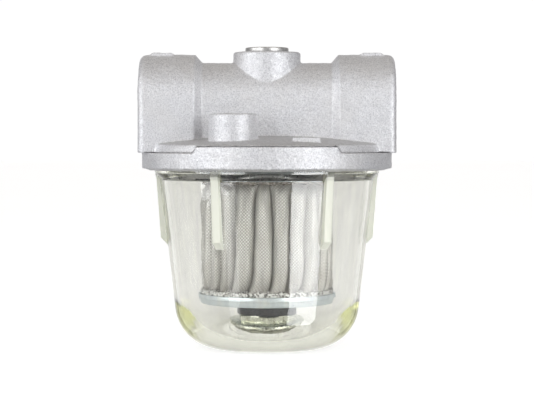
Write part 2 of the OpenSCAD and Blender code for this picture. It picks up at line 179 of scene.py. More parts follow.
def turned(name, profile, material, at=(0, 0), columns=128, radius_of=None, smooth_angle=35):
    """A profile of (r, z) turned about Z. Ends at r = 0 are closed with fans, other ends meet each other.
    radius_of(r, z, angles) may change the radii of a whole row."""
    profile = np.array(profile, float)
    angles = np.arange(columns) * TAU / columns
    closed = profile[0][0] > 1e-6
    rows = [p for p in profile if p[0] > 1e-6]
    vertices = []
    for r, z in rows:
        radii = np.full(columns, r) if radius_of is None else radius_of(r, z, angles)
        vertices += [(at[0] + q * math.cos(a), at[1] + q * math.sin(a), z) for q, a in zip(radii, angles)]
    faces = grid_faces(len(rows), columns, True, closed)
    if not closed:
        close_with_fans(vertices, faces, len(rows), columns, (*at, profile[0][1]), (*at, profile[-1][1]))
    return new_object(name, vertices, faces, material, smooth_angle)


def hex_radius(flats, angles, turn):
    """Radius of a hexagon of that width across flats at each angle."""
    sixth = TAU / 6
    return flats / 2 / np.cos((angles - turn) % sixth - sixth / 2)


def place(obj, body, slot, *replaced):
    """Puts a finished piece on its body and hides the CAD nodes that it stands for. The slot is not used."""
    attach(obj, body)
    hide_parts(*replaced)
    return obj


def remove(obj):
    """Deletes an object and its mesh."""
    mesh = obj.data
    bpy.data.objects.remove(obj)
    bpy.data.meshes.remove(mesh)


def apply_modifiers(obj):
    """Replaces an object's mesh with what its modifiers make of it."""
    depsgraph = bpy.context.evaluated_depsgraph_get()
    made = bpy.data.meshes.new_from_object(obj.evaluated_get(depsgraph), depsgraph=depsgraph)
    old = obj.data
    obj.modifiers.clear()
    obj.data = made
    bpy.data.meshes.remove(old)


def cut(obj, tool):
    """Subtracts a closed tool from obj. The new faces take the tool's material."""
    modifier = obj.modifiers.new("cut", "BOOLEAN")
    modifier.operation = "DIFFERENCE"
    modifier.solver = "MANIFOLD"
    modifier.object = tool
    modifier.material_mode = "TRANSFER"
    apply_modifiers(obj)
    remove(tool)


# ------------------------------ materials

def colour_ramp(tree, source, stops):
    """The output of a ramp fed by source; stops are (place, grey or colour)."""
    made = tree.nodes.new("ShaderNodeValToRGB")
    elements = made.color_ramp.elements
    while len(elements) < len(stops):
        elements.new(0.5)
    for element, (position, value) in zip(elements, stops):
        element.position = position
        element.color = (value, value, value, 1) if isinstance(value, (int, float)) else (*value, 1)
    tree.links.new(source, made.inputs[0])
    return made.outputs[0]


class Look:
    """One procedural material, built up by its methods. Texture places are the object's own coordinates."""
    def __init__(self, name, color, metallic, roughness, **sockets):
        self.material = bpy.data.materials.new(name)
        self.material.use_nodes = True
        self.tree = self.material.node_tree
        self.shader = self.tree.nodes["Principled BSDF"]
        self.shader.inputs["Base Color"].default_value = (*color, 1)
        self.shader.inputs["Metallic"].default_value = metallic
        self.shader.inputs["Roughness"].default_value = roughness
        for socket, value in sockets.items():
            self.shader.inputs[socket.replace("_", " ")].default_value = value
        self.where = self.tree.nodes.new("ShaderNodeTexCoord").outputs["Object"]
        self.bumped = None

    def node(self, kind, **settings):
        """A new node; each setting is an input's value if there is such an input, or else a property."""
        made = self.tree.nodes.new(kind)
        for key, value in settings.items():
            if key in made.inputs:
                made.inputs[key].default_value = value
            else:
                setattr(made, key, value)
        return made

    def link(self, source, target):
        self.tree.links.new(source, target)

    def noise(self, size_mm, detail=3, stretch=(1, 1, 1)):
        """Noise with features of about that size, stretched along the axes."""
        scaled = self.node("ShaderNodeVectorMath", operation="MULTIPLY")
        self.link(self.where, scaled.inputs[0])
        scaled.inputs[1].default_value = tuple(1 / s for s in stretch)
        texture = self.node("ShaderNodeTexNoise", Scale=1 / (size_mm * MM), Detail=detail, Roughness=0.55)
        self.link(scaled.outputs[0], texture.inputs["Vector"])
        return texture.outputs["Fac"]

    def cells(self, size_mm):
        """Distance to scattered points about that far apart."""
        texture = self.node("ShaderNodeTexVoronoi", feature="F1", Scale=1 / (size_mm * MM))
        self.link(self.where, texture.inputs["Vector"])
        return texture.outputs["Distance"]

    def rings(self, spacing_mm, axis="Z", centre=(0, 0, 0)):
        """Fine rings about an axis through centre, as a turning tool leaves."""
        moved = self.node("ShaderNodeVectorMath", operation="SUBTRACT")
        self.link(self.where, moved.inputs[0])
        moved.inputs[1].default_value = tuple(c * MM for c in centre)
        flat = self.node("ShaderNodeVectorMath", operation="MULTIPLY")
        self.link(moved.outputs[0], flat.inputs[0])
        flat.inputs[1].default_value = (1, 1, 0) if axis == "Z" else (0, 1, 1)
        away = self.node("ShaderNodeVectorMath", operation="LENGTH")
        self.link(flat.outputs[0], away.inputs[0])
        scaled = self.math("MULTIPLY", away.outputs["Value"], TAU / (spacing_mm * MM))
        return self.math("SINE", scaled)

    def height(self):
        """Height over the floor, in tenths of a metre."""
        split = self.node("ShaderNodeSeparateXYZ")
        self.link(self.where, split.inputs[0])
        return self.math("DIVIDE", split.outputs[2], 0.1)

    def math(self, operation, a, b=0.0):
        made = self.node("ShaderNodeMath", operation=operation)
        for socket, value in zip(made.inputs, (a, b)):
            if isinstance(value, (int, float)):
                socket.default_value = value
            else:
                self.link(value, socket)
        return made.outputs[0]

    def ramp(self, factor, stops):
        return colour_ramp(self.tree, factor, stops)

    def blend(self, factor, a, b):
        """Colour a mixed with colour b by factor."""
        made = self.node("ShaderNodeMix", data_type="RGBA")
        for socket, value in ((made.inputs[0], factor), (made.inputs[6], a), (made.inputs[7], b)):
            if isinstance(value, (int, float)):
                socket.default_value = value
            elif isinstance(value, tuple):
                socket.default_value = (*value, 1)
            else:
                self.link(value, socket)
        return made.outputs[2]

    def color(self, source):
        self.link(source, self.shader.inputs["Base Color"])
        return self

    def roughness(self, source, low, high):
        """Roughness between low and high by a factor from 0 to 1."""
        spread = self.node("ShaderNodeMapRange")
        spread.inputs["From Min"].default_value = 0.3
        spread.inputs["From Max"].default_value = 0.7
        spread.inputs["To Min"].default_value = low
        spread.inputs["To Max"].default_value = high
        self.link(source, spread.inputs["Value"])
        self.link(spread.outputs[0], self.shader.inputs["Roughness"])
        return self

    def bump(self, height, depth_mm):
        """Bump of that depth. Several calls add up."""
        made = self.node("ShaderNodeBump", Strength=1.0, Distance=depth_mm * MM)
        self.link(height, made.inputs["Height"])
        if self.bumped is not None:
            self.link(self.bumped, made.inputs["Normal"])
        self.bumped = made.outputs["Normal"]
        self.link(self.bumped, self.shader.inputs["Normal"])
        return self


def shade_on_low_level_faces(look, clouds):
    """Share of painted shade: on level faces low on the casting, stronger in clouds."""
    facing = look.node("ShaderNodeSeparateXYZ")
    look.link(look.node("ShaderNodeTexCoord").outputs["Normal"], facing.inputs[0])
    level = look.ramp(facing.outputs[2], [(0.6, 0.0), (0.95, 0.55)])
    low = look.ramp(look.height(), [(0.81, 1.0), (0.83, 0.0)])
    return look.math("MULTIPLY", look.math("MULTIPLY", level, low), look.math("ADD", clouds, 0.5))


def cast_aluminium():
    """Bright sand-cast skin: grain, mottling, warmer patches and painted shade on level faces low down."""
    look = Look("cast_aluminium", (0.84, 0.84, 0.85), 0.88, 0.58)
    grain, mottle, patches = look.noise(0.5, 2), look.noise(1.3, 2), look.noise(14, 2)
    skin = [(0.3, (0.62, 0.62, 0.635)), (0.5, (0.84, 0.84, 0.855)), (0.7, (0.98, 0.98, 0.99))]
    tone = look.ramp(grain, skin)
    tone = look.blend(look.ramp(mottle, [(0.4, 0.0), (0.72, 0.3)]), tone, (0.70, 0.70, 0.72))
    tone = look.blend(look.ramp(patches, [(0.4, 0.0), (0.75, 0.3)]), tone, (0.81, 0.79, 0.76))
    # painted shade: level faces low on the casting are blended towards dark grey
    look.color(look.blend(shade_on_low_level_faces(look, mottle), tone, (0.42, 0.41, 0.4))).roughness(mottle, 0.55, 0.65)
    look.bump(grain, 0.07).bump(look.cells(0.8), 0.03)
    return look.material


def machined_aluminium(name, axis, centre, shade=1.0):
    """Aluminium with the cutter's fine rings about an axis. Its colour is scaled by the shade argument; below
    1 this is painted shade.
    """
    look = Look(name, (0.84, 0.84, 0.85), 1.0, 0.3)
    ring, smear = look.rings(0.22, axis, centre), look.noise(1.5, 3)
    dull, bright = (tuple(shade * c for c in grey) for grey in ((0.76, 0.76, 0.77), (0.90, 0.90, 0.91)))
    look.color(look.ramp(smear, [(0.3, dull), (0.7, bright)]))
    look.roughness(smear, 0.22, 0.38).bump(ring, 0.012).bump(look.noise(0.3, 2), 0.01)
    return look.material


def turned_steel():
    look = Look("turned_steel", (0.72, 0.71, 0.69), 1.0, 0.3)
    smear, spots = look.noise(1.2, 3), look.noise(3.5, 2)
    tone = look.ramp(smear, [(0.3, (0.62, 0.61, 0.59)), (0.7, (0.78, 0.77, 0.75))])
    look.color(look.blend(look.ramp(spots, [(0.5, 0.0), (0.8, 0.4)]), tone, (0.58, 0.56, 0.53)))
    look.roughness(smear, 0.28, 0.45).bump(look.noise(0.35, 3), 0.015).bump(look.rings(0.25), 0.008)
    return look.material


def zinc_plate():
    look = Look("zinc_plate", (0.68, 0.73, 0.75), 1.0, 0.3)
    cloud, fine = look.noise(4, 3), look.noise(0.8, 3)
    plate = [(0.3, (0.64, 0.70, 0.74)), (0.55, (0.74, 0.80, 0.83)), (0.75, (0.80, 0.83, 0.82))]
    look.color(look.ramp(cloud, plate))
    look.roughness(fine, 0.36, 0.52).bump(fine, 0.02).bump(look.noise(3, 2), 0.05)
    return look.material


def black_rubber():
    look = Look("black_rubber", (0.03, 0.03, 0.032), 0.0, 0.6)
    fine = look.noise(0.5, 3)
    look.color(look.ramp(fine, [(0.3, (0.02, 0.02, 0.022)), (0.7, (0.05, 0.05, 0.052))]))
    look.roughness(fine, 0.5, 0.75).bump(fine, 0.02)
    return look.material


def gasket_fibre():
    look = Look("gasket_fibre", (0.12, 0.12, 0.12), 0.0, 0.8)
    fibre = look.noise(0.6, 4, stretch=(1, 3, 1))
    look.color(look.ramp(fibre, [(0.3, (0.06, 0.06, 0.06)), (0.7, (0.19, 0.18, 0.17))]))
    look.roughness(fibre, 0.7, 0.9).bump(fibre, 0.04)
    return look.material


def ferrite():
    look = Look("ferrite", (0.06, 0.06, 0.065), 0.0, 0.45)
    fine, chips = look.noise(0.5, 4), look.cells(1.4)
    look.color(look.ramp(fine, [(0.3, (0.022, 0.022, 0.026)), (0.7, (0.055, 0.055, 0.062))]))
    look.roughness(fine, 0.35, 0.6).bump(fine, 0.03).bump(chips, 0.03)
    return look.material


def resin(name, dark, middle, light):
    """Cured resin in lumps, with painted shade between them and a painted highlight on their tops."""
    look = Look(name, middle, 0.0, 0.3)
    lumps, fine = look.noise(0.8, 3), look.noise(0.4, 3)
    # painted light: the dark colour between the lumps is painted shade, the light colour on their tops a
    # painted highlight
    look.color(look.ramp(lumps, [(0.42, dark), (0.49, middle), (0.56, light)]))
    look.roughness(fine, 0.1, 0.35).bump(lumps, 0.4).bump(fine, 0.12)
    return look.material


def chromate():
    """Yellowish passivated zinc."""
    look = Look("chromate", (0.5, 0.5, 0.42), 1.0, 0.25)
    cloud, fine = look.noise(2.2, 3), look.noise(0.6, 3)
    plate = [(0.32, (0.46, 0.46, 0.38)), (0.5, (0.6, 0.61, 0.52)), (0.68, (0.76, 0.77, 0.69))]
    look.color(look.ramp(cloud, plate))
    look.roughness(fine, 0.22, 0.36).bump(cloud, 0.012).bump(fine, 0.006)
    return look.material


def stainless():
    look = Look("stainless", (0.62, 0.61, 0.59), 1.0, 0.3)
    brushed = look.noise(0.4, 3, stretch=(1, 1, 12))
    look.color(look.ramp(brushed, [(0.3, (0.5, 0.49, 0.47)), (0.7, (0.7, 0.69, 0.67))]))
    look.roughness(brushed, 0.25, 0.4).bump(brushed, 0.01)
    return look.material


def spring_steel():
    look = Look("spring_steel", (0.26, 0.26, 0.21), 1.0, 0.3)
    drawn = look.noise(0.6, 3)
    look.color(look.ramp(drawn, [(0.3, (0.16, 0.16, 0.12)), (0.7, (0.36, 0.36, 0.3))]))
    look.roughness(drawn, 0.25, 0.45).bump(drawn, 0.01)
    return look.material


def woven_steel(pitch_mm):
    """Wire cloth: two families of wires crossing, laid out by the cloth's own coordinates in millimetres."""
    look = Look("woven_steel", (0.66, 0.64, 0.6), 0.6, 0.5)
    uv = look.node("ShaderNodeUVMap", uv_map="Cloth").outputs[0]
    wobble = look.node("ShaderNodeTexNoise", Scale=1 / (9 * MM), Detail=2)
    look.link(look.where, wobble.inputs["Vector"])
    spread = look.node("ShaderNodeVectorMath", operation="SCALE", Scale=0.5)
    look.link(wobble.outputs["Color"], spread.inputs[0])
    moved = look.node("ShaderNodeVectorMath", operation="ADD")
    look.link(uv, moved.inputs[0])
    look.link(spread.outputs[0], moved.inputs[1])
    split = look.node("ShaderNodeSeparateXYZ")
    look.link(moved.outputs[0], split.inputs[0])
    turn = TAU / 2 / pitch_mm / math.sqrt(2)
    waves = []
    for family in ("ADD", "SUBTRACT"):
        across = look.math("MULTIPLY", look.math(family, split.outputs[0], split.outputs[1]), turn)
        waves.append(look.math("ABSOLUTE", look.math("SINE", across)))
    wires = look.math("POWER", look.math("MULTIPLY", *waves), 0.7)
    grime, fold, crease = look.noise(5, 3), look.noise(0.9, 3), look.noise(1.7, 3, stretch=(1, 1, 9))
    weave = [(0.08, (0.4, 0.39, 0.37)), (0.5, (0.68, 0.67, 0.64)), (0.88, (0.92, 0.91, 0.89))]
    tone = look.ramp(wires, weave)
    tone = look.blend(look.ramp(grime, [(0.45, 0.0), (0.75, 0.35)]), tone, (0.55, 0.51, 0.47))
    # painted shade: the cloth is darkened in the creases that the crease bump cuts
    tone = look.blend(look.ramp(crease, [(0.35, 0.5), (0.5, 0.0)]), tone, (0.4, 0.385, 0.37))
    # the cloth is darker towards its foot
    darker_foot = look.ramp(look.height(), [(0.21, 0.55), (0.34, 0.0)])
    tone = look.blend(darker_foot, tone, (0.34, 0.31, 0.28))
    look.color(tone).roughness(fold, 0.45, 0.62)
    look.bump(wires, 0.06).bump(look.noise(2.5, 3), 0.1).bump(crease, 0.25)
    return look.material


RIB_MILK = 0.5         # share of the ribs' frosted surface that is milky, not clear


def clear_plastic():
    """Clear plastic that yellows with depth. The ribs, marked by the frost attribute, are matt and milky."""
    look = Look("clear_plastic", (1, 1, 1), 0.0, 0.02, Transmission_Weight=1.0, IOR=1.52)
    streak, flow = look.noise(1.6, 2, stretch=(1, 1, 16)), look.noise(9, 2)
    frost = look.node("ShaderNodeAttribute", attribute_name="frost").outputs["Fac"]
    tints = [(0.35, (0.815, 0.81, 0.81)), (0.5, (0.842, 0.842, 0.834)), (0.65, (0.868, 0.868, 0.844))]
    look.color(look.blend(frost, look.ramp(streak, tints), (0.66, 0.67, 0.585)))
    haze = look.node("ShaderNodeMapRange")
    haze.inputs["To Min"].default_value, haze.inputs["To Max"].default_value = 0.015, 0.05
    look.link(streak, haze.inputs["Value"])
    matt = look.math("ADD", haze.outputs[0], look.math("MULTIPLY", frost, 0.6))
    look.link(matt, look.shader.inputs["Roughness"])
    passed = look.math("SUBTRACT", 1.0, look.math("MULTIPLY", frost, RIB_MILK))
    look.link(passed, look.shader.inputs["Transmission Weight"])
    look.bump(streak, 0.02).bump(flow, 0.06)
    volume = look.node("ShaderNodeVolumeAbsorption", Density=40.0)
    volume.inputs["Color"].default_value = (0.9, 0.905, 0.67, 1)
    output = look.tree.nodes["Material Output"]
    look.link(volume.outputs[0], output.inputs["Volume"])
    return look.material


WEAVE_PITCH = 0.87
CAST = cast_aluminium()
PORT_CUT = machined_aluminium("machined_ports", "X", (0, 0, PORT_Z))
# the bores and holes take a copy at half brightness: painted shade inside the casting's holes
SHADED_BORE_CUT = machined_aluminium("shaded_machined_bore", "Z", (0, 0, 0), shade=0.5)
STEEL, ZINC, RUBBER, FIBRE = turned_steel(), zinc_plate(), black_rubber(), gasket_fibre()
FERRITE, STAINLESS, WIRE, CHROMATE = ferrite(), stainless(), spring_steel(), chromate()
# pale resin; its white lump tops are painted highlights
PALE_RESIN = resin("resin", (0.16, 0.15, 0.14), (0.75, 0.74, 0.71), (1.0, 1.0, 0.98))
# brown resin for the upper glue, darkened further as painted shade under the head
SHADED_DARK_RESIN = resin("shaded_dark_resin", (0.08, 0.06, 0.045), (0.2, 0.16, 0.12), (0.5, 0.46, 0.42))
CLOTH, CLEAR = woven_steel(WEAVE_PITCH), clear_plastic()


# ------------------------------ head

VOXEL = 0.34           # of the remesh that softens the casting
SKIN = 0.05            # what the fillings stay under the CAD's faces
vent, vent_seal = Span("vent_plug"), Span("vent_plug_seal")
gauge, gauge_seal = Span("gauge_plug"), Span("gauge_plug_seal")
gasket = Span("top_gasket")
bowl_span = Span("bowl")
BOWL_PITCH = 3.0
SKIRT_THREAD_R, SKIRT_THREAD_DEPTH = 43.3, 1.1
SKIRT_OUT_R, SKIRT_MOUTH_R, SKIRT_LIP_R = 48.6, 44.6, 44.3
SKIRT_Z, CEILING_Z = 68.3, 75.5
PORT_FACE_R, VENT_FACE_R, GAUGE_FACE_R = 15.6, 11.2, 8.3
SEAT_R, SEAT_Z = 17.0, gasket.z1
INLET_X, INLET_DROP_R, OUTLET_R, PASSAGE_R = -22.0, 7.5, 9.0, 10.0
VENT_SHANK_R, GAUGE_SHANK_R = 6.53, 4.83
TOP_Z = vent_seal.z1
GAUGE_BOSS_Z = gauge.z1 + 0.5


def rod(name, start, end, radius, material=None, radius_end=None):
    """A closed round rod between two points."""
    columns = 96
    start, end = np.array(start, float), np.array(end, float)
    axis = (end - start) / np.linalg.norm(end - start)
    side = np.cross(axis, (0, 0, 1) if abs(axis[2]) < 0.9 else (1, 0, 0))
    side /= np.linalg.norm(side)
    other = np.cross(axis, side)
    vertices = []
    for centre, r in ((start, radius), (end, radius if radius_end is None else radius_end)):
        for a in np.arange(columns) * TAU / columns:
            vertices.append(centre + r * (side * math.cos(a) + other * math.sin(a)))
    faces = close_with_polygons(grid_faces(2, columns), 2, columns)
    return new_object(name, vertices, faces, material or CAST)


def drill(x, y, low, high, radius):
    """An upright round tool."""
    return rod("tool", (x, y, low), (x, y, high), radius, SHADED_BORE_CUT)


def turn_profile(phase, flat=0.12):
    """Height of a thread's section, 0 at its root and 1 at its crest, by the place in one pitch."""
    rise = (0.5 - np.abs(phase - 0.5)) / (0.5 - flat)
    t = np.clip((rise - flat) / (1 - flat), 0, 1)
    return t * t * (3 - 2 * t) * 0.35 + t * 0.65


def port_tool(side):
    """What the tap and the facing cutter remove from one port."""
    columns, step, face_cut, bevel_r, bevel = 120, 0.16, 0.12, 13.5, 1.3
    inner = HALF_FACE - PORT_DEPTH
    xs = np.arange(inner, HALF_FACE - face_cut, step)
    angles = np.arange(columns) * TAU / columns
    vertices = []
    for x in xs:
        phase = ((x / PORT_PITCH) - angles / TAU) % 1
        run_out = np.clip((x - inner - 0.3) / 2.5, 0, 1)
        r = PORT_MINOR_R + (PORT_MAJOR_R - PORT_MINOR_R) * run_out * turn_profile(phase)
        mouth = bevel_r - (HALF_FACE - face_cut - x) * (bevel_r - PORT_MINOR_R) / bevel
        r = np.maximum(r, mouth)
        vertices += [(x, q * math.cos(a), PORT_Z + q * math.sin(a)) for q, a in zip(r, angles)]
    face = HALF_FACE - face_cut
    for x, q in ((face, bevel_r), (face, PORT_FACE_R), (HALF_FACE + 2, PORT_FACE_R)):
        vertices += [(x, q * math.cos(a), PORT_Z + q * math.sin(a)) for a in angles]
    rows = len(xs) + 3
    faces = close_with_polygons(grid_faces(rows, columns), rows, columns)
    vertices = np.array(vertices)
    if side < 0:
        vertices[:, :2] *= -1
    return new_object("port_tool", vertices, faces, PORT_CUT)


def skirt_tool():
    """What is turned out of the skirt: room for the bowl's collar with its thread, and the seat's face."""
    mouth = [
        (0, 66), (SKIRT_MOUTH_R, 66), (SKIRT_LIP_R, 67.35), (SKIRT_THREAD_R, 68.0), (SKIRT_THREAD_R, 68.2)
    ]
    thread_z = np.arange(68.35, 73.6, 0.16)
    inside = fillet([
        (SKIRT_THREAD_R, 73.8), (SKIRT_THREAD_R, CEILING_Z, 0.4), (SEAT_R, CEILING_Z, 1.5), (SEAT_R, SEAT_Z),
        (0, SEAT_Z)
    ], 0.4)
    profile = mouth + [(SKIRT_THREAD_R, z) for z in thread_z] + plain(inside)

    def threaded(r, z, angles):
        if abs(r - SKIRT_THREAD_R) > 1e-6 or not thread_z[0] <= z <= thread_z[-1]:
            return np.full(len(angles), r)
        ends = np.clip((z - 68.2) / 0.8, 0, 1) * np.clip((73.7 - z) / 0.8, 0, 1)
        phase = (z / BOWL_PITCH - angles / TAU) % 1
        return r + SKIRT_THREAD_DEPTH * ends * turn_profile(phase)

    return turned("skirt_tool", profile, SHADED_BORE_CUT, columns=240, radius_of=threaded)


def parting_tool():
    """The narrow ragged line where the two halves of the mould met, along the upper edge of the skirt."""
    columns, groove_r, deeper, width = 720, 44.2, 1.4, 0.36
    low_z, high_z, step_x, run = 74.05, 76.3, 26.4, 1.5
    angles = np.arange(columns) * TAU / columns
    along = np.abs(groove_r * np.cos(angles))
    upper = np.clip((step_x - along) / run, 0, 1)
    ragged = sum(np.sin(angles * n + p) for n, p in ((31, 0.4), (83, 2.1), (149, 4.0))) / 3
    foot = low_z + (high_z - low_z) * upper + 0.05 * ragged
    height, deep, rim = width + 0.12 * ragged, groove_r - deeper * upper, np.full(columns, SKIRT_OUT_R)
    vertices = []
    for radii, up in ((deep, 0), (rim, 0), (rim, 1), (deep, 1)):
        for r, a, z, h in zip(radii, angles, foot, height):
            vertices.append((r * math.cos(a), r * math.sin(a), z + up * h))
    return new_object("parting_tool", vertices, grid_faces(4, columns, True, True), CAST)


def head():
    """The casting: the CAD solid, its machined holes filled, softened like a sand casting, machined again."""
    source = nodes["head_casting"].data.copy()
    body = bpy.data.objects.new("filter_head", source)
    bpy.context.scene.collection.objects.link(body)
    gx, gy = gauge.cx, gauge.cy
    fillers = [
        rod("fill", (-HALF_FACE + SKIN, 0, PORT_Z), (HALF_FACE - SKIN, 0, PORT_Z), 13.6),
        rod("fill", (0, 0, SKIRT_Z - 0.85), (0, 0, CEILING_Z + 0.3), SKIRT_THREAD_R + 1.3),
        rod("fill", (INLET_X, 0, CEILING_Z - 2), (INLET_X, 0, PORT_Z), INLET_DROP_R + 0.5),
        rod("fill", (0, 0, CEILING_Z - 2), (0, 0, TOP_Z - SKIN), 9.5, radius_end=vent_seal.r + 0.3),
        rod("fill", (gx, gy, CEILING_Z - 2), (gx, gy, GAUGE_BOSS_Z - SKIN), gauge.r + 0.6),
    ]
    bpy.ops.object.select_all(action="DESELECT")
    for part in fillers + [body]:
        part.select_set(True)
    bpy.context.view_layer.objects.active = body
    bpy.ops.object.join()
    remesh = body.modifiers.new("voxels", "REMESH")
    remesh.mode, remesh.voxel_size = "VOXEL", VOXEL * MM
    soft = body.modifiers.new("soft", "SMOOTH")
    soft.factor, soft.iterations = 0.5, 3
    apply_modifiers(body)
    roughen(body)
    body.data.materials.clear()
    body.data.materials.append(CAST)
    soften(body, 180)
    for tool in (
        parting_tool(), port_tool(1), port_tool(-1), skirt_tool(),
        rod("tool", (HALF_FACE - PORT_DEPTH + 0.5, 0, PORT_Z), (0, 0, PORT_Z), PASSAGE_R, SHADED_BORE_CUT),
        rod("tool", (-HALF_FACE + PORT_DEPTH - 0.5, 0, PORT_Z), (INLET_X, 0, PORT_Z), PASSAGE_R, SHADED_BORE_CUT),
        drill(INLET_X, 0, CEILING_Z - 1, PORT_Z, INLET_DROP_R), drill(0, 0, SEAT_Z - 1, PORT_Z, OUTLET_R),
        drill(0, 0, PORT_Z - 1, TOP_Z + 1, VENT_SHANK_R),
        drill(0, 0, vent_seal.z0, TOP_Z + 1, vent_seal.r + 0.08),
        drill(0, 0, TOP_Z - 0.06, TOP_Z + 1, VENT_FACE_R),
        drill(gx, gy, CEILING_Z - 1, GAUGE_BOSS_Z + 1, GAUGE_SHANK_R),
        drill(gx, gy, gauge_seal.z0, GAUGE_BOSS_Z + 1, gauge.r + 0.3),
        drill(gx, gy, GAUGE_BOSS_Z - 0.06, GAUGE_BOSS_Z + 1, GAUGE_FACE_R),
    ):
        cut(body, tool)
    soften(body, 38)
    return place(body, "head", "cast_aluminium", "head_casting")


def roughen(body):
    """Slow waves and small lumps of a sand-cast skin, a few hundredths of a millimetre high."""
    waves_each = 6
    mesh = body.data
    co = np.empty(len(mesh.vertices) * 3, np.float32)
    no = np.empty(len(mesh.vertices) * 3, np.float32)
    mesh.vertices.foreach_get("co", co)
    mesh.vertices.foreach_get("normal", no)
    co, no = co.reshape(-1, 3).astype(float), no.reshape(-1, 3).astype(float)
    lift = np.zeros(len(co))
    for size, depth in ((9.0, 0.05), (4.0, 0.03), (2.0, 0.022), (1.2, 0.02)):
        for _ in range(waves_each):
            direction = rng.normal(size=3)
            direction *= TAU / (size * MM) / np.linalg.norm(direction)
            lift += depth * MM / waves_each ** 0.5 * np.sin(co @ direction + rng.uniform(0, TAU))
    mesh.vertices.foreach_set("co", (co + no * lift[:, None]).astype(np.float32).ravel())
    mesh.update()


# ------------------------------ plugs

def socket_plug(name, span, shank_r, flange_low, flats, depth, edge, material):
    """A plug with a flange, a threaded shank below it and a hexagon socket in its head."""
    low, top, crest, flat = span.z0, span.z1, shank_r - 0.05, flats / 2
    pitch, thread_depth, run_out, socket_turn = 1.0, 0.55, 0.6, 0.3
    shank_z = np.arange(low + 1.1, flange_low - 0.9, pitch / 8)
    lower = fillet([(0, low), (shank_r - 0.9, low, 0.1), (crest, low + 0.9, 0.1), (crest, low + 1.1)], 0.1)
    upper = fillet([
        (crest, flange_low - 0.6), (crest, flange_low, 0.15), (span.r, flange_low, edge / 2),
        (span.r, top, edge), (flat * 1.24, top, 0.25), (flat * 1.155, top - 0.45, 0.1)
    ], 0.2)
    bottom = top - depth
    socket = [(flat, top - 0.5), (flat, bottom), (flat * 0.9, bottom - 0.05), (0, bottom - 0.7)]
    profile = plain(lower) + [(crest, z) for z in shank_z] + plain(upper) + socket

    def shape(r, z, angles):
        if z > flange_low and 0 < r <= flat + 1e-6:
            return hex_radius(flats, angles, socket_turn) * (2 * r / flats)
        if abs(r - crest) < 1e-6 and shank_z[0] <= z <= shank_z[-1]:
            ends = np.clip((z - shank_z[0]) / run_out, 0, 1) * np.clip((shank_z[-1] - z) / run_out, 0, 1)
            return r - thread_depth * ends * turn_profile((z / pitch - angles / TAU) % 1)
        return np.full(len(angles), r)

    return turned(name, profile, material, (span.cx, span.cy), 144, shape)


def washer(name, span, r_in, material, edge):
    """A flat ring with rounded edges in a node's place."""
    middle, low, high = (span.r + r_in) / 2, span.z0, span.z1
    profile = fillet(
        [(middle, low), (span.r, low), (span.r, high), (r_in, high), (r_in, low), (middle, low)], edge)
    return turned(name, profile[:-1], material, (span.cx, span.cy))


# ------------------------------ bowl

RIBS, RIB_ANGLE = 6, math.radians(3)
FLARE_Z, COLLAR_Z, COLLAR_R = 64.1, 66.4, 42.6
WALL_LOW_R, WALL_LOW_Z, TAPER, WALL = 35.4, 19.0, 0.113, 2.2
FOOT_R, FLOOR_ARC_R, FLOOR_Z = 17.0, 18.5, 3.0
COLLAR_BORE_R, STEP_R, STEP_Z = 38.4, 41.0, 73.2
THREAD_ROOT_R, THREAD_TOP_R = 41.85, 42.95
RIB_TOP_R, RIB_FOOT_R, RIB_FOOT_Z = 42.1, 40.3, 41.9
RIB_LOW_Z = RIB_FOOT_Z - 2.7


def wall_r(z):
    """Radius of the tapered wall's outside at height z."""
    return WALL_LOW_R + (z - WALL_LOW_Z) * TAPER


def foot_arc(radius, z0, inset):
    """Points of the rounded foot from the flat bottom up to the tapered wall."""
    c = wall_r(z0 + radius) - math.hypot(1, TAPER) * (radius + inset)
    angles = np.linspace(-math.pi / 2, -math.atan(TAPER), 26)
    return [(c + radius * math.cos(a), z0 + radius + radius * math.sin(a)) for a in angles]


def rib_reach(z):
    """Radius that a rib reaches at height z, or nothing outside it."""
    if not RIB_LOW_Z <= z <= COLLAR_Z:
        return 0.0
    if z < RIB_FOOT_Z:
        t = (z - RIB_LOW_Z) / (RIB_FOOT_Z - RIB_LOW_Z)
        return wall_r(RIB_LOW_Z) * (1 - t) + RIB_FOOT_R * t
    return RIB_FOOT_R + (RIB_TOP_R - RIB_FOOT_R) * (z - RIB_FOOT_Z) / (COLLAR_Z - RIB_FOOT_Z)


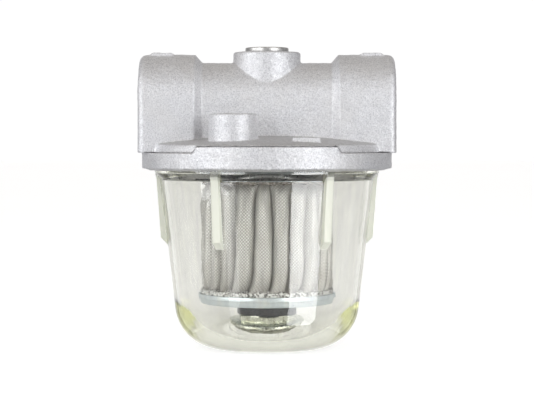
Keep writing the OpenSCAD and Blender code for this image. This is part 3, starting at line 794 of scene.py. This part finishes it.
def bowl():
    """Clear bowl, one closed shell. Columns of vertices follow the ribs' sides, and the thread is a helix."""
    half_rib = ((0.6, 1), (1.25, 1), (1.47, 0.96), (1.55, 0.86), (1.57, 0.12), (1.68, 0.02), (2.1, 0))
    offsets = [-d for d, _ in reversed(half_rib)] + [0] + [d for d, _ in half_rib]
    weights = [w for _, w in reversed(half_rib)] + [1] + [w for _, w in half_rib]
    between, narrowest, run_out = 34, 8.0, 0.5
    foot = foot_arc(FOOT_R, 0, 0)
    heights = list(np.linspace(foot[-1][1] + 2, RIB_LOW_Z - 1, 10))
    heights += [RIB_LOW_Z - 0.15, RIB_LOW_Z + 0.15] + list(np.linspace(RIB_LOW_Z + 0.5, RIB_FOOT_Z - 0.3, 6))
    heights += [RIB_FOOT_Z, RIB_FOOT_Z + 0.3] + list(np.linspace(RIB_FOOT_Z + 2, FLARE_Z - 0.8, 12))
    outside = [(r, 0.0) for r in (6, 11, 15)] + foot + [(wall_r(z), z) for z in heights]
    collar = fillet([
        (wall_r(FLARE_Z - 0.6), FLARE_Z - 0.6), (wall_r(FLARE_Z), FLARE_Z, 1.2), (COLLAR_R, COLLAR_Z, 0.5),
        (COLLAR_R, SKIRT_Z - 0.4, 0.3), (THREAD_ROOT_R, SKIRT_Z + 0.3)
    ], 0.3, 3)
    thread_z = np.arange(SKIRT_Z + 0.45, STEP_Z - 0.25, 0.15)
    inner_foot = foot_arc(FLOOR_ARC_R, FLOOR_Z, WALL)
    rim = fillet([
        (THREAD_ROOT_R, STEP_Z - 0.2), (THREAD_ROOT_R, STEP_Z, 0.2), (STEP_R, STEP_Z, 0.3),
        (STEP_R, bowl_span.z1, 0.5), (COLLAR_BORE_R, bowl_span.z1, 0.5), (COLLAR_BORE_R, FLARE_Z + 1.5, 1.0),
        inner_foot[-1]
    ], 0.3, 3)
    outside += plain(collar) + [(THREAD_ROOT_R, z) for z in thread_z] + plain(rim[:-1])
    inner_top, inner_low = rim[-2], rim[-1]
    inside = [tuple(inner_top + (inner_low - inner_top) * t) for t in np.linspace(0.04, 0.96, 16)]
    inside += list(reversed(inner_foot)) + [(r, FLOOR_Z) for r in (15, 11, 6)]
    split = len(outside)
    rows = outside + inside

    columns = []
    for k in range(RIBS):
        columns += [(k, d, w, None) for d, w in zip(offsets, weights)]
        columns += [(k, None, 0.0, (i + 1) / (between + 1)) for i in range(between)]
    vertices, frost = [], []
    for index, (r, z) in enumerate(rows):
        reach = rib_reach(z) if index < split and z < COLLAR_Z and r > 20 else 0.0
        on_thread = index < split and abs(r - THREAD_ROOT_R) < 1e-6 and thread_z[0] <= z <= thread_z[-1]
        for k, d, w, t in columns:
            middle = RIB_ANGLE + k * TAU / RIBS
            edge = math.asin(offsets[-1] / max(r, narrowest))
            if d is not None:
                angle = middle + math.asin(d / max(r, narrowest))
            else:
                angle = middle + edge + t * (TAU / RIBS - 2 * edge)
            radius = r
            if reach > r:
                radius = r + (reach - r) * w
            if on_thread:
                begun, left = (z - thread_z[0]) / run_out, (thread_z[-1] - z) / run_out
                height = turn_profile(np.array(((z - 0.3) / BOWL_PITCH - angle / TAU) % 1), 0.16)
                ends = min(max(begun, 0), 1) * min(max(left, 0), 1)
                radius = r + (THREAD_TOP_R - THREAD_ROOT_R) * ends * float(height)
            vertices.append((radius * math.cos(angle), radius * math.sin(angle), z))
            frost.append(float(reach > r + 0.05 and w > 0.1))
    faces = grid_faces(len(rows), len(columns))
    close_with_fans(vertices, faces, len(rows), len(columns), (0, 0, 0), (0, 0, FLOOR_Z))
    made = new_object("clear_bowl", vertices, faces, CLEAR, 32)
    layer = made.data.attributes.new("frost", "FLOAT", "POINT")
    layer.data.foreach_set("value", np.array(frost + [0.0, 0.0], np.float32))
    return place(made, "bowl", "clear_plastic", "bowl")


# ------------------------------ cartridge

PLEATS = 22
cloth_span, tube_span = Span("pleated_mesh"), Span("core_tube")
cap_low, cap_high = Span("bottom_cap"), Span("top_cap")
potting_low, potting_high = Span("bottom_potting"), Span("top_potting")


def pleated_cloth():
    """Wire cloth in rounded folds, each with its own width, lean and depth, and tucked in at both caps."""
    across, levels, thick = 26, 76, 0.35
    out_r, in_r = cloth_span.r - 0.15, 21.3
    low, high = potting_low.z1 - 1.6, potting_high.z0 + 1.6
    widths = 1 + 0.2 * rng.uniform(-1, 1, PLEATS)
    starts = np.concatenate([[0], np.cumsum(widths)]) * TAU / widths.sum() - math.radians(4)
    depth_of = 1 - 0.07 * rng.uniform(0, 1, PLEATS)
    lean = math.radians(2.2) * rng.uniform(-1, 1, PLEATS + 1)
    lean[-1] = lean[0]
    tuck_low = math.radians(13) * (0.7 + 0.6 * rng.uniform(0, 1, PLEATS + 1))
    tuck_high = math.radians(12) * rng.uniform(-1, 1, PLEATS + 1)
    tuck_low[-1], tuck_high[-1] = tuck_low[0], tuck_high[0]
    waves = rng.uniform(0, TAU, (PLEATS + 1, 3))
    waves[-1] = waves[0]
    crowded = 0.5 - 0.5 * np.cos(np.linspace(0, math.pi, levels))
    zs = low + (high - low) * crowded * 0.35 + (high - low) * np.linspace(0, 1, levels) * 0.65

    def valley(i, z):
        """Angle of the valley before fold i at height z."""
        t = (z - low) / (high - low)
        wave = 0.35 * math.sin(1.3 * TAU * t + waves[i][0]) + 0.2 * math.sin(2.9 * TAU * t + waves[i][1])
        near_low, near_high = math.exp(-(z - low) / 3.0), math.exp(-(high - 1.5 - z) / 3.0)
        straight = starts[i] + lean[i] * (t - 0.5) * 2 + math.radians(0.9) * wave
        return straight - tuck_low[i] * near_low + tuck_high[i] * near_high

    layers = []
    for z in zs:
        t = (z - low) / (high - low)
        pinch_low = min(0.45 * math.exp(-(z - low - 1.0) / 1.8), 0.7)
        pinch_high = min(0.6 * math.exp(-(high - 3.4 - z) / 1.6), 0.85)
        pinch = 1 - pinch_low - pinch_high
        ring = []
        for i in range(PLEATS):
            a0, a1 = valley(i, z), valley(i + 1, z) if i + 1 < PLEATS else valley(0, z) + TAU
            bulge = depth_of[i] * pinch * (1 + 0.012 * math.sin(TAU * 1.7 * t + waves[i][2]))
            for k in range(across):
                s = 2 * k / across - 1
                wide = math.sin(math.pi / 2 * s)
                crown = max(1 - abs(wide) ** 2.2, 0.0) ** 0.6
                crease = math.exp(-((wide - 0.5 * math.sin(waves[i][0] + 2 * t)) / 0.16) ** 2)
                ridge = math.exp(-((wide + 0.45 * math.cos(waves[i][2] - 1.5 * t)) / 0.14) ** 2)
                r = in_r + (out_r - in_r) * crown * bulge
                r -= 0.3 * crease * crown * math.sin(math.pi * t) ** 0.5
                r += 0.16 * (ridge - 1) * crown + 0.5 * crown * math.sin(math.pi * t)
                ring.append((r, (a0 + a1) / 2 + wide * (a1 - a0) / 2 * 0.985))
        layers.append(ring)
    layers = np.array(layers)
    outer = np.stack([
        layers[..., 0] * np.cos(layers[..., 1]), layers[..., 0] * np.sin(layers[..., 1]),
        np.repeat(zs[:, None], layers.shape[1], 1)
    ], -1)
    step = np.linalg.norm(np.diff(outer[levels // 2], axis=0, append=outer[levels // 2][:1]), axis=1)
    along = np.concatenate([[0], np.cumsum(step)[:-1]])
    climb = np.concatenate([[0], np.cumsum(np.linalg.norm(np.diff(outer, axis=0), axis=2).mean(1))])
    uv = np.stack(np.meshgrid(along, climb), -1)
    tangent = np.roll(outer, -1, 1) - np.roll(outer, 1, 1)
    normal = np.stack([tangent[..., 1], -tangent[..., 0], np.zeros(tangent.shape[:2])], -1)
    normal /= np.linalg.norm(normal, axis=-1, keepdims=True) + 1e-9
    inner = outer - normal * thick
    vertices = np.concatenate([outer.reshape(-1, 3), inner[::-1].reshape(-1, 3)])
    uvs = np.concatenate([uv.reshape(-1, 2), uv[::-1].reshape(-1, 2)])
    faces = grid_faces(2 * levels, layers.shape[1], True, True)
    made = new_object("pleated_cloth", vertices, faces, CLOTH, 60, uvs)
    return place(made, "cartridge", "woven_steel", "pleated_mesh")


def pressed_cap(name, span, hole_r, mouth_up, node):
    """A pressed cap: rounded edge, stepped wall with a rolled lip, and a shallow ring in its face."""
    r, sheet, h = span.r, 0.8, span.h
    section = [
        (hole_r, 0), (12.6, 0, 0.5), (13.1, 0.35, 0.5), (14.6, 0.35, 0.5), (15.1, 0, 0.5), (r - 0.7, 0, 1.0),
        (r - 0.35, h * 0.5, 0.4), (r, h * 0.62, 0.4), (r, h - 0.02, 0.35), (r - sheet, h - 0.02, 0.35),
        (r - sheet, h * 0.6, 0.3), (r - sheet - 0.35, sheet, 0.7), (hole_r, sheet), (hole_r, 0)
    ]
    profile = fillet(section, 0.3, 4)[:-1]
    z = span.z0 + profile[:, 1] if mouth_up else span.z1 - profile[:, 1]
    profile = np.stack([profile[:, 0], z], 1)
    if not mouth_up:
        profile = profile[::-1]
    made = turned(name, profile, ZINC, columns=160)
    return place(made, "cartridge", "zinc_plate", node)


def glue_ring(name, span, up, node, material):
    """Cured resin in a cap, with a lumpy free surface that climbs a little between the folds."""
    columns, rings = 260, 14
    r_out, r_in = span.r, tube_span.r + 0.05
    base, free = (span.z0, span.z1) if up else (span.z1, span.z0)
    way = 1 if up else -1
    angles = np.arange(columns) * TAU / columns
    counts = (PLEATS, 37, 53, 71, 97, 131, 17)
    phases = rng.uniform(0, TAU, len(counts))
    vertices = []
    for i in range(rings):
        t = i / (rings - 1)
        r = r_out - (r_out - r_in) * t
        rise = 1.7 * math.sin(math.pi * min(1, 0.1 + t)) ** 0.4
        lumps = np.zeros(columns)
        for k, n in enumerate(counts):
            lumps += math.exp(-0.25 * k) * np.sin(angles * n + phases[k] + 9 * t * (k % 3))
        rough = 0.22 * lumps + 0.16 * rng.normal(size=columns) if 0 < i < rings - 1 else np.zeros(columns)
        surface = free + way * (rise + rough)
        vertices += [(r * math.cos(a), r * math.sin(a), z) for a, z in zip(angles, surface)]
    for r in (r_in, r_out):
        vertices += [(r * math.cos(a), r * math.sin(a), base) for a in angles]
    faces = grid_faces(rings + 2, columns, True, True)
    if not up:
        faces = [tuple(reversed(f)) for f in faces]
    made = new_object(name, vertices, faces, material, 50)
    return place(made, "cartridge", "resin", node)


# ------------------------------ magnet, nut and spring

nut, magnet, pole, coil_span = (Span(n) for n in ("flange_nut", "ring_magnet", "pole_washer", "spring"))
BOLT_R = 5.0
NUT_FLATS, NUT_TURN, NUT_FLANGE_H = 21.6, math.radians(33.5), 1.4


def flange_nut():
    """Hexagon nut with chamfered corners on a domed flange."""
    low, top, flat = nut.z0, nut.z1, NUT_FLATS / 2
    flange = low + NUT_FLANGE_H
    corner = flat / math.cos(math.pi / 6)
    dome = fillet([
        (8, low), (nut.r - 0.1, low, 0.3), (nut.r, low + 0.6, 0.4), (nut.r - 0.4, flange - 0.15, 0.4),
        (flat + 1.2, flange + 0.35, 0.3), (flat + 0.9, flange + 0.36)
    ], 0.3)
    hexagon = [
        (corner, flange + 0.4), (corner, top - 1.0), (corner - 0.2, top - 0.45), (flat - 0.1, top - 0.05),
        (flat - 0.6, top)
    ]
    bore = [(BOLT_R + 0.7, top), (BOLT_R + 0.05, top - 0.6), (BOLT_R + 0.05, low + 0.6), (BOLT_R + 0.7, low)]

    def shape(r, z, angles):
        if z < flange + 0.39 or r < BOLT_R + 1:
            return np.full(len(angles), r)
        return np.minimum(hex_radius(NUT_FLATS, angles, NUT_TURN), r)

    made = turned("flange_nut_body", plain(dome) + hexagon + bore, CHROMATE, (0, 0), 180, shape, 28)
    return place(made, "cartridge", "zinc_plate", "flange_nut")


def spring():
    """Conical spring of round wire, pressed almost flat, with closed ends."""
    wire, turns, steps, sides = 0.6, 2.5, 180, 16
    r0, r1 = coil_span.x1 - wire, 8.5
    z0, z1 = coil_span.z0 + wire, coil_span.z1 - wire
    vertices = []
    for i in range(steps + 1):
        t = i / steps
        a = TAU * turns * t
        r, z = r0 + (r1 - r0) * t, z0 + (z1 - z0) * t
        centre = np.array((r * math.cos(a), r * math.sin(a), z))
        out = np.array((math.cos(a), math.sin(a), 0))
        shrink = 1 if 0 < i < steps else 0.75
        for k in range(sides):
            b = TAU * k / sides
            vertices.append(centre + wire * shrink * (out * math.cos(b) + np.array((0, 0, 1)) * math.sin(b)))
    faces = close_with_polygons(grid_faces(steps + 1, sides), steps + 1, sides)
    made = new_object("spring_coil", vertices, faces, WIRE, 40)
    return place(made, "cartridge", "spring_steel", "spring")


# ------------------------------ making

head()
place(socket_plug("vent_plug_body", vent, VENT_SHANK_R - 0.08, TOP_Z, 6.0, 4.0, 0.5, STEEL),
      "vent_plug", "turned_steel", "vent_plug")
place(socket_plug("gauge_plug_body", gauge, GAUGE_SHANK_R - 0.08, gauge_seal.z1, 5.0, 3.0, 0.35, STEEL),
      "gauge_plug", "turned_steel", "gauge_plug")
bowl()
pleated_cloth()
pressed_cap("lower_cap", cap_low, BOLT_R + 0.05, True, "bottom_cap")
pressed_cap("upper_cap", cap_high, OUTLET_R + 0.5, False, "top_cap")
glue_ring("lower_glue", potting_low, True, "bottom_potting", PALE_RESIN)
glue_ring("upper_glue", potting_high, False, "top_potting", SHADED_DARK_RESIN)
place(washer("pole_plate", pole, BOLT_R + 0.05, ZINC, 0.15), "cartridge", "zinc_plate", "pole_washer")
place(washer("magnet_ring", magnet, BOLT_R + 0.05, FERRITE, 0.35), "cartridge", "ferrite", "ring_magnet")
flange_nut()
spring()
for node, material in (
    ("vent_plug_seal", RUBBER), ("gauge_plug_seal", RUBBER), ("bowl_o_ring", RUBBER),
    ("top_gasket", FIBRE), ("bolt_washer", FIBRE),
    ("core_tube", STAINLESS), ("mesh_seam", STAINLESS), ("clamp_bolt", ZINC)
):
    nodes[node].data.materials.clear()
    nodes[node].data.materials.append(material)
    soften(nodes[node], 35)


# ------------------------------ floor, light and camera

ROOM_SIDE, ROOM_TOP, BACKDROP = (0.31, 0.31, 0.32), (0.42, 0.395, 0.365), (1.02, 1.02, 1.02)
BACKDROP_EDGE = (0.82, 0.96)
COOL = (0.965, 0.98, 1.0)
LIGHT_DISTANCE = 0.95
CAMERA_DISTANCE, CAMERA_Z, AIM_Z = 0.652, 0.0787, 0.056


def pale_floor():
    """A wide white sheet that glows a little, so that it stays white under soft light."""
    look = Look("pale_floor", (0.6, 0.6, 0.6), 0.0, 0.7, Emission_Color=(1, 1, 1, 1), Emission_Strength=0.72)
    cloud = look.noise(600, 2)
    look.color(look.ramp(cloud, [(0.3, (0.58, 0.58, 0.58)), (0.7, (0.62, 0.62, 0.62))]))
    half, n = 6000, 24
    line = np.linspace(-half, half, n)
    vertices = [(x, y, 0) for y in line for x in line]
    floor = new_object("floor", vertices, grid_faces(n, n, False), look.material)
    floor.visible_glossy = False


def soft_light(name, azimuth, low, high, width, power, seers):
    """An upright rectangular light, in metres, that only the seers receive. Azimuth is in degrees from the
    camera's side towards +X."""
    data = bpy.data.lights.new(name, "AREA")
    data.shape, data.size, data.size_y, data.energy, data.color = "RECTANGLE", width, high - low, power, COOL
    light = bpy.data.objects.new(name, data)
    bpy.context.scene.collection.objects.link(light)
    a = math.radians(azimuth)
    light.location = (LIGHT_DISTANCE * math.sin(a), -LIGHT_DISTANCE * math.cos(a), (low + high) / 2)
    light.rotation_euler = (math.pi / 2, 0, a)
    light.light_linking.receiver_collection = seers


def surroundings():
    """A dim room with a bright white backdrop behind the object."""
    world = bpy.data.worlds.new("room")
    bpy.context.scene.world = world
    world.use_nodes = True
    tree = world.node_tree
    background = tree.nodes["Background"]
    where = tree.nodes.new("ShaderNodeTexCoord").outputs["Generated"]
    split = tree.nodes.new("ShaderNodeSeparateXYZ")
    tree.links.new(where, split.inputs[0])
    room = colour_ramp(tree, split.outputs[2], [(0.0, ROOM_SIDE), (0.35, ROOM_SIDE), (0.9, ROOM_TOP)])
    backdrop = colour_ramp(tree, split.outputs[1], [(BACKDROP_EDGE[0], 0), (BACKDROP_EDGE[1], 1)])
    mix = tree.nodes.new("ShaderNodeMix")
    mix.data_type = "RGBA"
    tree.links.new(backdrop, mix.inputs[0])
    tree.links.new(room, mix.inputs[6])
    mix.inputs[7].default_value = (*BACKDROP, 1)
    tree.links.new(mix.outputs[2], background.inputs["Color"])


pale_floor()
surroundings()
seen_by_bowl, seen_by_rest = (bpy.data.collections.new(n) for n in ("seen_by_bowl", "seen_by_rest"))
for obj in bpy.data.objects:
    if obj.type == "MESH":
        (seen_by_bowl if obj.name == "clear_bowl" else seen_by_rest).objects.link(obj)
soft_light("softbox_right", 40, -0.5, 0.75, 0.62, 6.4, seen_by_rest)
soft_light("softbox_left", -40, -0.24, 0.75, 0.40, 3.8, seen_by_rest)
soft_light("softbox_far_left", -75, -0.2, 0.7, 0.32, 2.2, seen_by_rest)
soft_light("window_right", 44.5, -0.75, 0.75, 0.63, 25.0, seen_by_bowl)
soft_light("window_left", -48.5, -0.161, 0.75, 0.93, 13.0, seen_by_bowl)
soft_light("slot_left", -40, -0.5, 0.4, 0.22, 1.6, seen_by_bowl)
soft_light("card_left", -104, -0.7, 0.9, 1.6, 5.5, seen_by_bowl)
soft_light("card_right", 104, -0.7, 0.9, 1.6, 5.5, seen_by_bowl)

camera_data = bpy.data.cameras.new("camera")
camera_data.sensor_width, camera_data.lens = 36, 115.7
camera_data.clip_start, camera_data.clip_end = 0.05, 50
camera = bpy.data.objects.new("camera", camera_data)
bpy.context.scene.collection.objects.link(camera)
camera.location = (0, -CAMERA_DISTANCE, CAMERA_Z)
camera.rotation_euler = (math.pi / 2 - math.atan2(CAMERA_Z - AIM_Z, CAMERA_DISTANCE), 0, 0)
bpy.context.scene.camera = camera
bpy.context.scene.view_settings.view_transform = "Standard"
cycles = bpy.context.scene.cycles
cycles.max_bounces, cycles.glossy_bounces, cycles.transmission_bounces = 24, 16, 24
